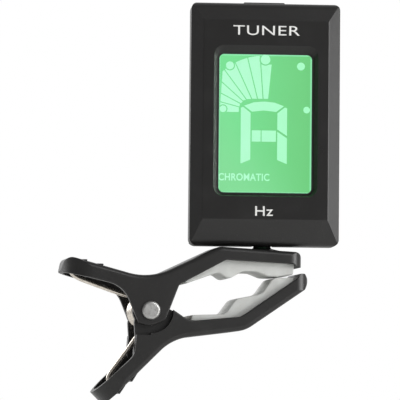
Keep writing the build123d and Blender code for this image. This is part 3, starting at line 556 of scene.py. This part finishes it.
# ------------------------------------------------------------------ the workbench
class Bench:
    """Making pieces with Blender's own operators."""

    @staticmethod
    def only(obj: bpy.types.Object) -> None:
        """Select one object and make it active, with everything else deselected."""
        bpy.ops.object.select_all(action="DESELECT")
        obj.select_set(True)
        bpy.context.view_layer.objects.active = obj

    @staticmethod
    def begin() -> None:
        """Deselect everything before a new primitive is added."""
        bpy.ops.object.select_all(action="DESELECT")

    @staticmethod
    def settle(obj: bpy.types.Object, name: str) -> bpy.types.Object:
        """Name a piece and put its place into its mesh.

        Args:
            obj: The piece.
            name: Its name, which its mesh gets too.

        Returns:
            The piece.
        """
        Bench.only(obj)
        bpy.ops.object.transform_apply(location=True, rotation=True, scale=True)
        obj.name = name
        obj.data.name = name
        return obj

    @staticmethod
    def cut(obj: bpy.types.Object, planes: Iterable[tuple[Vector, Vector]]) -> None:
        """Cut away what lies beyond each plane.

        Args:
            obj: A flat piece at the origin.
            planes: A point on each plane, and the direction that is cut away.
        """
        Bench.only(obj)
        bpy.ops.object.mode_set(mode="EDIT")
        for point, away in planes:
            bpy.ops.mesh.select_all(action="SELECT")
            bpy.ops.mesh.bisect(plane_co=point, plane_no=away.normalized(), clear_outer=True)
        bpy.ops.object.mode_set(mode="OBJECT")

    @staticmethod
    def thicken(obj: bpy.types.Object, shift: Vector) -> None:
        """Extrude a flat piece by a shift into a closed plate."""
        Bench.only(obj)
        bpy.ops.object.mode_set(mode="EDIT")
        bpy.ops.mesh.select_all(action="SELECT")
        bpy.ops.mesh.extrude_region_move(TRANSFORM_OT_translate={"value": shift})
        bpy.ops.mesh.select_all(action="SELECT")
        bpy.ops.mesh.normals_make_consistent(inside=False)
        bpy.ops.object.mode_set(mode="OBJECT")

    @staticmethod
    def join(pieces: Sequence[bpy.types.Object], name: str) -> bpy.types.Object:
        """Join pieces into one.

        Args:
            pieces: The pieces; the first one stays.
            name: Name of the joined piece.

        Returns:
            The joined piece.
        """
        Bench.only(pieces[0])
        for piece in pieces:
            piece.select_set(True)
        if len(pieces) > 1:
            bpy.ops.object.join()
        return Bench.settle(pieces[0], name)

    @staticmethod
    def modify(obj: bpy.types.Object, kind: str, **settings: object) -> None:
        """Add a modifier, set it up and apply it.

        Args:
            obj: The piece.
            kind: The modifier's type.
            settings: Its properties.
        """
        Bench.only(obj)
        modifier = obj.modifiers.new(kind.title(), kind)
        for key, value in settings.items():
            setattr(modifier, key, value)
        bpy.ops.object.modifier_apply(modifier=modifier.name)

    @staticmethod
    def smooth(obj: bpy.types.Object, degrees: float = 35.0) -> None:
        """Shade smooth, with creases sharper than an angle kept."""
        Bench.only(obj)
        bpy.ops.object.shade_smooth_by_angle(angle=math.radians(degrees))

    @staticmethod
    def copy_of(node: str, name: str) -> bpy.types.Object:
        """A merged copy of a CAD node, ready to be worked on.

        Args:
            node: The CAD node.
            name: Name of the copy.

        Returns:
            The copy, at the origin and with no parent.
        """
        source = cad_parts[node]
        copy = bpy.data.objects.new(name, source.data.copy())
        bpy.context.scene.collection.objects.link(copy)
        copy.data.name = name
        Bench.only(copy)
        bpy.ops.object.mode_set(mode="EDIT")
        bpy.ops.mesh.select_all(action="SELECT")
        bpy.ops.mesh.remove_doubles(threshold=MERGE * MM)
        bpy.ops.mesh.customdata_custom_splitnormals_clear()
        bpy.ops.mesh.dissolve_limited(angle_limit=math.radians(FLAT_DEGREES))
        bpy.ops.object.mode_set(mode="OBJECT")
        return copy

    @staticmethod
    def dress(obj: bpy.types.Object, material: bpy.types.Material) -> None:
        """Give a piece one material."""
        obj.data.materials.clear()
        obj.data.materials.append(material)


def hand_over(obj: bpy.types.Object, body: str, material: bpy.types.Material) -> None:
    """Dress a new piece, let it ride on its body and report it.

    Args:
        obj: The piece, finished and at the origin.
        body: The CAD body that it moves with.
        material: Its material.
    """
    Bench.dress(obj, material)
    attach(obj, body)
    LOG.info("%s rides on %s: %d faces", obj.name, body, len(obj.data.polygons))


def dress_nodes(pairs: dict[str, bpy.types.Material]) -> None:
    """Give CAD nodes that are shown as they are their materials."""
    for node, material in pairs.items():
        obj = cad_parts[node]
        for slot in obj.material_slots:
            slot.material = material
        LOG.info("%s keeps its CAD shape", node)


# ------------------------------------------------------------------ the head
@dataclass
class HeadShells:
    """Covers, door, button and the legends printed on the front cover."""

    finishes: Finishes
    print_height: float = 0.02
    upper_text: str = "TUNER"
    upper_width: float = 12.4
    upper_cap: float = 1.78
    upper_z: float = 44.8
    upper_weight: float = 0.0
    lower_text: str = "Hz"
    lower_width: float = 3.3
    lower_cap: float = 1.8
    lower_z: float = 11.2
    lower_x: float = -0.2
    lower_weight: float = 0.02
    print_sink: float = 0.01

    def build(self) -> None:
        """Dress the shells and print the legends."""
        paint = self.finishes
        dress_nodes({
            "front_cover": paint.head, "rear_cover": paint.rear, "battery_door": paint.door,
            "power_button": paint.button, "cover_screws": paint.steel, "tilt_pin": paint.steel,
            "tilt_washers": paint.steel,
        })
        face = HEAD.local_box("front_cover")[0].y
        upper = Legend(
            self.upper_text, self.upper_width, self.upper_cap, 0.0, self.upper_z, self.upper_weight,
        )
        lower = Legend(
            self.lower_text, self.lower_width, self.lower_cap, self.lower_x, self.lower_z, self.lower_weight,
        )
        thickness = self.print_height + self.print_sink
        for legend, name in ((upper, "print_name"), (lower, "print_unit")):
            piece = legend.build(name, face - self.print_height, thickness)
            hand_over(piece, "head", paint.print)


@dataclass(frozen=True)
class Legend:
    """A line of lettering, stretched to a width and a capital height."""

    text: str
    width: float
    cap: float
    centre: float
    base: float
    weight: float

    def build(self, name: str, front: float, thickness: float) -> bpy.types.Object:
        """Make the lettering a thin closed mesh.

        Args:
            name: Name of the piece.
            front: Y of its front face in the head's own axes, in millimetres.
            thickness: Its thickness, in millimetres.

        Returns:
            The piece, in the row frame.
        """
        Bench.begin()
        bpy.ops.object.text_add()
        letters = bpy.context.object
        letters.data.body = self.text
        letters.data.offset = self.weight * 0.35
        letters.data.resolution_u = 6
        letters.data.extrude = 0.5
        letters.data.space_character = 1.06
        bpy.ops.object.convert(target="MESH")
        xs = [v.co.x for v in letters.data.vertices]
        ys = [v.co.y for v in letters.data.vertices]
        low = Vector((min(xs), min(ys), 0))
        size = Vector((max(xs) - low.x, max(ys) - low.y, 1))
        grow = Matrix.Diagonal((self.width / size.x, self.cap / size.y, thickness, 1))
        letters.data.transform(grow @ Matrix.Translation(-low))
        upright = Matrix.Rotation(math.radians(90), 4, "X")
        spot = Matrix.Translation((self.centre - self.width / 2, front + thickness / 2, self.base))
        letters.data.transform(HEAD.matrix() @ Matrix.Scale(MM, 4) @ spot @ upright)
        letters.data.name = name
        letters.name = name
        return letters


@dataclass
class Display:
    """Window, display panel and its lit segments, drawn round the panel's middle."""

    finishes: Finishes
    middle_z: float = 28.55
    plate: float = 0.006
    gap: float = 0.19
    fan_left: float = -8.15
    last_top: float = 11.0
    fan_radius: float = 11.6
    fan_middle: Point = (-0.17, 1.03)
    fan_low_z: float = 2.04
    fan_angles: tuple[float, ...] = (180.0, 165.5, 152.5, 138.5, 127.0, 115.0, 104.0, 94.2, 84.5)
    hub_half: Point = (4.75, 3.55)
    dot_places: tuple[tuple[float, float, float], ...] = (
        (0.0, 11.9, 0.90), (6.63, 10.73, 0.74), (-6.63, 10.73, 0.74), (7.75, 2.6, 0.62), (-7.85, 2.6, 0.62),
    )
    ring: float = 0.22
    stroke_outer: float = 4.31
    stroke_inner: float = 2.50
    letter_x: float = -0.20
    letter_top: float = 3.15
    letter_foot: float = -7.55
    bar_top: float = -1.33
    bar_bottom: float = -3.42
    bar_gap: float = 0.25
    crown_half: float = 3.72
    crown_inner: float = 2.25
    crown_shoulder: float = 1.9
    foot_rise: float = 0.75
    needle_x: float = 0.05
    needle_z: float = 1.95
    needle_drop: float = 3.55
    sheet_size: float = 30.0
    disc_sides: int = 40
    fan_sides: int = 96
    mode_text: str = "CHROMATIC"
    mode_width: float = 9.5
    mode_cap: float = 1.38
    mode_x: float = -3.85
    mode_drop: float = 10.75
    mode_weight: float = 0.06

    def build(self) -> None:
        """Dress the display's CAD nodes and make its segments."""
        paint = self.finishes
        dress_nodes({
            "window_lens": paint.acrylic, "lcd_panel": paint.display, "lcd_backlight": paint.guide,
            "elastomer_connector": paint.zebra,
        })
        face = HEAD.local_box("lcd_panel")[0].y
        wedges = [self._wedge(index, face) for index in range(len(self.fan_angles) - 1)]
        self._give(Bench.join(wedges, "fan_segments"), paint.segment)
        rings = [
            self._disc(x, z, radius + self.ring, face, Depth.RINGS) for x, z, radius in self.dot_places
        ]
        self._give(Bench.join(rings, "dot_surrounds"), paint.display)
        dots = [self._disc(x, z, radius, face, Depth.DOTS) for x, z, radius in self.dot_places]
        self._give(Bench.join(dots, "dot_segments"), paint.segment)
        strokes = [self._polygon(points, face) for points in self._letter()]
        self._give(Bench.join(strokes, "note_segments"), paint.segment)
        legend = Legend(
            self.mode_text, self.mode_width, self.mode_cap, self.mode_x,
            self.middle_z - self.mode_drop, self.mode_weight,
        )
        mode = legend.build("mode_legend", face - Depth.BARS.value - self.plate, self.plate)
        self._give(mode, paint.segment)

    def _give(self, obj: bpy.types.Object, material: bpy.types.Material) -> None:
        """Hand a display piece over to the head."""
        hand_over(obj, "head", material)

    def _finish_plate(self, obj: bpy.types.Object, face: float, depth: Depth) -> bpy.types.Object:
        """Thicken a flat shape drawn at Y = 0 and bring it in front of the panel, on the head."""
        Bench.thicken(obj, Vector((0, self.plate, 0)))
        front = face - depth.value - self.plate
        spot = Matrix.Translation((0, front, self.middle_z))
        obj.data.transform(HEAD.matrix() @ Matrix.Scale(MM, 4) @ spot)
        return obj

    def _disc(self, x: float, z: float, radius: float, face: float, depth: Depth) -> bpy.types.Object:
        """A round plate at a place on the panel."""
        Bench.begin()
        bpy.ops.mesh.primitive_circle_add(
            vertices=self.disc_sides, radius=radius, fill_type="NGON", location=(x, 0, z),
            rotation=(math.radians(90), 0, 0),
        )
        disc = Bench.settle(bpy.context.object, "disc")
        return self._finish_plate(disc, face, depth)

    def _polygon(self, points: Sequence[Point], face: float) -> bpy.types.Object:
        """A convex plate, cut from a sheet along each of its sides.

        Args:
            points: Corners, anticlockwise as seen from the front.
            face: Y of the panel's face.

        Returns:
            The plate.
        """
        centre = Vector((sum(p[0] for p in points), 0, sum(p[1] for p in points))) / len(points)
        Bench.begin()
        bpy.ops.mesh.primitive_plane_add(
            size=self.sheet_size, location=centre, rotation=(math.radians(90), 0, 0),
        )
        sheet = Bench.settle(bpy.context.object, "sheet")
        planes = []
        for (x0, z0), (x1, z1) in zip(points, [*points[1:], points[0]]):
            planes.append((Vector((x0, 0, z0)), Vector((z1 - z0, 0, x0 - x1))))
        Bench.cut(sheet, planes)
        return self._finish_plate(sheet, face, Depth.BARS)

    def _needle_line(self, angle: float) -> tuple[Vector, Vector]:
        """A point on a fan line and the line's direction; flat lines meet higher than steep ones."""
        rise = math.sin(math.radians(angle)) ** 2
        point = Vector((self.needle_x, 0, self.needle_z - self.needle_drop * rise))
        return point, Vector((math.cos(math.radians(angle)), 0, math.sin(math.radians(angle))))

    def _wedge(self, index: int, face: float) -> bpy.types.Object:
        """One segment of the fan, between two of its lines.

        Args:
            index: Number of the segment, from the left.
            face: Y of the panel's face.

        Returns:
            The segment.
        """
        x, z = self.fan_middle
        Bench.begin()
        bpy.ops.mesh.primitive_circle_add(
            vertices=self.fan_sides, radius=self.fan_radius, fill_type="NGON", location=(x, 0, z),
            rotation=(math.radians(90), 0, 0),
        )
        disc = Bench.settle(bpy.context.object, "wedge")
        planes = [(Vector((self.fan_left, 0, 7.0)), Vector((-1, 0, 0.06))),
                  (Vector((0, 0, self.fan_low_z)), Vector((0, 0, -1)))]
        for angle, side in ((self.fan_angles[index], 1), (self.fan_angles[index + 1], -1)):
            point, along = self._needle_line(angle)
            away = Vector((-along.z, 0, along.x)) * side
            planes.append((point - away * self.gap / 2, away))
        middle = math.radians((self.fan_angles[index] + self.fan_angles[index + 1]) / 2)
        planes.append(self._hub_cut(middle))
        if index == len(self.fan_angles) - 2:
            planes.append((Vector((0, 0, self.last_top)), Vector((0, 0, 1))))
        Bench.cut(disc, planes)
        return self._finish_plate(disc, face, Depth.BARS)

    def _hub_cut(self, angle: float) -> tuple[Vector, Vector]:
        """Plane that trims a wedge's inner end along a squared oval round the letter."""
        wide, high = self.hub_half
        cosine, sine = math.cos(angle), math.sin(angle)
        reach = ((abs(cosine) / wide) ** 4 + (abs(sine) / high) ** 4) ** -0.25
        point = Vector((self.fan_middle[0] + reach * cosine, 0, self.fan_middle[1] + reach * sine))
        outward = Vector((cosine ** 3 / wide ** 4, 0, sine ** 3 / high ** 4)).normalized()
        return point, -outward

    def _letter(self) -> list[list[Point]]:
        """Outlines of the strokes of the letter A, in the segment style of such displays."""
        middle, outer, inner = self.letter_x, self.stroke_outer, self.stroke_inner
        top, foot = self.letter_top, self.letter_foot
        inner_foot = foot + self.foot_rise
        half, throat, shoulder = self.crown_half, self.crown_inner, self.crown_shoulder
        cap = [(middle - half, top + 0.10), (middle - throat, top - 1.0), (middle, top - 0.74),
               (middle + throat, top - 1.0), (middle + half, top + 0.10)]
        crown = [
            *cap, (middle + shoulder, top + 0.75), (middle, top + 0.92), (middle - shoulder, top + 0.75),
        ]
        cap_halves = [
            [crown[0], crown[1], crown[2], crown[6], crown[7]],
            [crown[2], crown[3], crown[4], crown[5], crown[6]],
        ]
        left = [(middle - outer, foot), (middle - inner, inner_foot), (middle - inner, top - 1.25),
                (middle - outer + 0.4, top - 0.12), (middle - outer, top - 0.3)]
        right_high = [(middle + inner, -1.1), (middle + outer, -2.3), (middle + outer, top - 0.3),
                      (middle + outer - 0.4, top - 0.12), (middle + inner, top - 1.25)]
        right_low = [(middle + inner, inner_foot), (middle + outer, foot), (middle + outer, -2.75),
                     (middle + inner, -1.55)]
        low, high = self.bar_bottom, self.bar_top
        reach = inner - self.bar_gap
        spans = ((middle - reach, middle - 0.6), (middle - 0.42, middle + reach))
        bars = [[(start, low), (end, low), (end, high), (start, high)] for start, end in spans]
        return [*cap_halves, left, right_high, right_low, *bars]


@dataclass
class Inside:
    """Board, parts, cell and pickup, which show only when the door is open."""

    finishes: Finishes

    def build(self) -> None:
        """Dress the inner CAD nodes."""
        paint = self.finishes
        dress_nodes({
            "circuit_board": paint.board, "controller_chip": paint.chip, "crystal_can": paint.cell,
            "smd_parts": paint.ceramic, "tact_switch": paint.switch, "switch_plunger": paint.plunger,
            "piezo_disc": paint.brass, "piezo_leads": paint.leads, "battery_cell": paint.cell,
            "battery_contact_negative": paint.leaf, "battery_contact_positive": paint.leaf,
        })


# ------------------------------------------------------------------ the clip
@dataclass
class Clip:
    """Arms, rivet, swivel and the soft pads."""

    finishes: Finishes
    pad_round: float = 0.28

    def build(self) -> None:
        """Dress the clip's CAD nodes and make the pads."""
        paint = self.finishes
        dress_nodes({
            "upper_jaw": paint.clip, "lower_jaw": paint.clip, "pivot_pin": paint.rivet,
            "swivel_post": paint.post, "swivel_washer": paint.steel, "swivel_screw": paint.steel,
        })
        self._pad("upper_pad", "upper_jaw")
        self._pad("lower_pad", "lower_jaw")

    def _pad(self, node: str, body: str) -> None:
        """A rubber pad with rounded rims in place of its plain solid.

        Args:
            node: The pad's CAD node.
            body: The body that it is fixed to.
        """
        pad = Bench.copy_of(node, f"soft_{node}")
        Bench.modify(pad, "BEVEL", width=self.pad_round * MM, segments=3, limit_method="ANGLE",
                     angle_limit=math.radians(50))
        Bench.smooth(pad, 40)
        hand_over(pad, body, self.finishes.silicone)
        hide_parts(node)


@dataclass
class ClipSpring:
    """Torsion spring of round wire: a close coil on the rivet and two bent legs."""

    finishes: Finishes
    pivot: Point = (-25.4, -6.55)
    wire: float = 0.42
    radius: float = 2.9
    turns: int = 7
    half_length: float = 3.18
    points_per_turn: int = 12

    def build(self) -> None:
        """Make the spring as one wire, in place of the CAD spring."""
        Bench.begin()
        bpy.ops.curve.primitive_nurbs_path_add()
        line = bpy.context.object
        line.data.splines.clear()
        points = self._route()
        spline = line.data.splines.new("NURBS")
        spline.points.add(len(points) - 1)
        for target, point in zip(spline.points, points):
            target.co = (*(point * MM), 1.0)
        spline.order_u = 4
        spline.use_endpoint_u = True
        spline.resolution_u = 4
        line.data.bevel_depth = self.wire * MM
        line.data.bevel_resolution = 4
        line.data.use_fill_caps = True
        bpy.ops.object.convert(target="MESH")
        spring = Bench.settle(bpy.context.object, "wound_spring")
        Bench.smooth(spring, 60)
        Bench.dress(spring, self.finishes.wire)
        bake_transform(spring)
        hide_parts("clip_spring")
        LOG.info("%s bends between the jaws", spring.name)

    def _route(self) -> list[Vector]:
        """Points of the wire: tip, upper leg, coil, lower leg, tip."""
        x, z = self.pivot
        near, far = -self.half_length, self.half_length
        upper = [(-39.3, 0.8), (-38.9, 0.3), (-38.2, -0.3), (-36.9, -0.8), (-33.0, -2.15), (-28.7, -3.62),
                 (-27.2, -3.68)]
        lower = [(-26.7, -9.95), (-27.6, -11.35), (-29.4, -13.95), (-31.8, -17.2), (-32.75, -18.5),
                 (-32.85, -19.1), (-32.6, -20.0)]
        steps = self.turns * self.points_per_turn + self.points_per_turn // 2
        swell = 3 / (2 + math.cos(2 * math.pi / self.points_per_turn))
        coil = []
        for step in range(steps + 1):
            turn = 2 * math.pi * step / self.points_per_turn
            along = far + (near - far) * step / steps
            coil.append(Vector((x + swell * self.radius * math.sin(turn), along,
                                z + swell * self.radius * math.cos(turn))))
        start = [Vector((px, far, pz)) for px, pz in upper]
        end = [Vector((px, near, pz)) for px, pz in lower]
        return [*start, *coil, *end]


# ------------------------------------------------------------------ the studio
@dataclass
class Studio:
    """Pale floor, soft light and a long lens."""

    azimuth: float = -9.4
    elevation: float = -4.0
    roll: float = 0.55
    distance: float = 575.0
    view_width: float = 74.77
    aim: Point = (-15.14, 14.64)
    floor_z: float = -62.0
    floor_size: float = 6.0
    dim: float = 0.25
    dim_until: float = 0.0
    bright_from: float = 0.75
    aim_point: tuple[float, float, float] = (-5.0, 0.0, 20.0)

    def build(self) -> None:
        """Set up the camera, floor, world and lamps."""
        bpy.context.scene.view_settings.view_transform = "Standard"
        self._camera()
        self._floor()
        self._world()
        lamps = (
            ("key", (240, -330, 260), 260, 0.95),
            ("side", (330, -230, 30), 200, 0.95),
            ("back_left", (-330, 200, 160), 260, 0.8),
                    )
        for name, place, size, power in lamps:
            self._lamp(name, place, size, power)

    def _camera(self) -> None:
        """Camera on a long lens, a little to the left of the display and just below it."""
        a, e, r = (math.radians(v) for v in (self.azimuth, self.elevation, self.roll))
        right = Vector((math.cos(a), math.sin(a), 0))
        back = Vector((math.sin(a) * math.cos(e), -math.cos(a) * math.cos(e), math.sin(e)))
        up = back.cross(right)
        rolled_right = right * math.cos(r) + up * math.sin(r)
        rolled_up = up * math.cos(r) - right * math.sin(r)
        data = bpy.data.cameras.new("camera")
        camera = bpy.data.objects.new("camera", data)
        bpy.context.scene.collection.objects.link(camera)
        data.lens = data.sensor_width * self.distance / self.view_width
        data.clip_start = 0.01
        data.clip_end = 50
        aim = rolled_right * self.aim[0] + rolled_up * self.aim[1]
        axes = Matrix((rolled_right, rolled_up, back)).transposed().to_4x4()
        camera.matrix_world = Matrix.Translation((aim + back * self.distance) * MM) @ axes
        bpy.context.scene.camera = camera

    def _floor(self) -> None:
        """Wide pale floor, well below the object."""
        Bench.begin()
        bpy.ops.mesh.primitive_plane_add(size=self.floor_size, location=(0, 0, self.floor_z * MM))
        floor = Bench.settle(bpy.context.object, "floor")
        tree = Tree("floor_paper")
        cloud = tree.noise(tree.place(), 60.0, 3.0)
        colour = tree.mix(cloud, (0.80, 0.80, 0.79), (0.84, 0.84, 0.83))
        Bench.dress(floor, tree.finish(Base_Color=colour, Roughness=0.9))

    def _world(self) -> None:
        """Pale surroundings, darker on the display's side."""
        world = bpy.data.worlds.new("studio")
        bpy.context.scene.world = world
        world.use_nodes = True
        nodes = world.node_tree.nodes
        links = world.node_tree.links
        coordinates = nodes.new("ShaderNodeTexCoord")
        parts = nodes.new("ShaderNodeSeparateXYZ")
        ramp = nodes.new("ShaderNodeMapRange")
        ramp.inputs["From Min"].default_value = self.dim_until
        ramp.inputs["From Max"].default_value = self.bright_from
        ramp.inputs["To Min"].default_value = self.dim
        ramp.inputs["To Max"].default_value = 1.0
        links.new(coordinates.outputs["Generated"], parts.inputs[0])
        links.new(parts.outputs["Y"], ramp.inputs["Value"])
        background = next(n for n in nodes if n.type == "BACKGROUND")
        background.inputs["Color"].default_value = (1.0, 1.0, 1.0, 1.0)
        links.new(ramp.outputs["Result"], background.inputs["Strength"])

    def _lamp(self, name: str, place: tuple[float, float, float], size: float, power: float) -> None:
        """Square soft lamp that faces the middle of the object.

        Args:
            name: Name of the lamp.
            place: Where it stands, in millimetres.
            size: Its side, in millimetres.
            power: Its power, in watts.
        """
        data = bpy.data.lights.new(name, "AREA")
        data.size = size * MM
        data.energy = power
        lamp = bpy.data.objects.new(name, data)
        bpy.context.scene.collection.objects.link(lamp)
        spot = Vector(place) * MM
        lamp.location = spot
        aim = Vector(self.aim_point) * MM - spot
        lamp.rotation_euler = aim.to_track_quat("-Z", "Y").to_euler()


def main() -> None:
    """Build everything in order."""
    logging.basicConfig(level=logging.INFO, format="%(message)s")
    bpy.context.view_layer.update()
    finishes = Finishes()
    Studio().build()
    HeadShells(finishes).build()
    Display(finishes).build()
    Inside(finishes).build()
    Clip(finishes).build()
    ClipSpring(finishes).build()


if __name__ == "__main__":
    main()
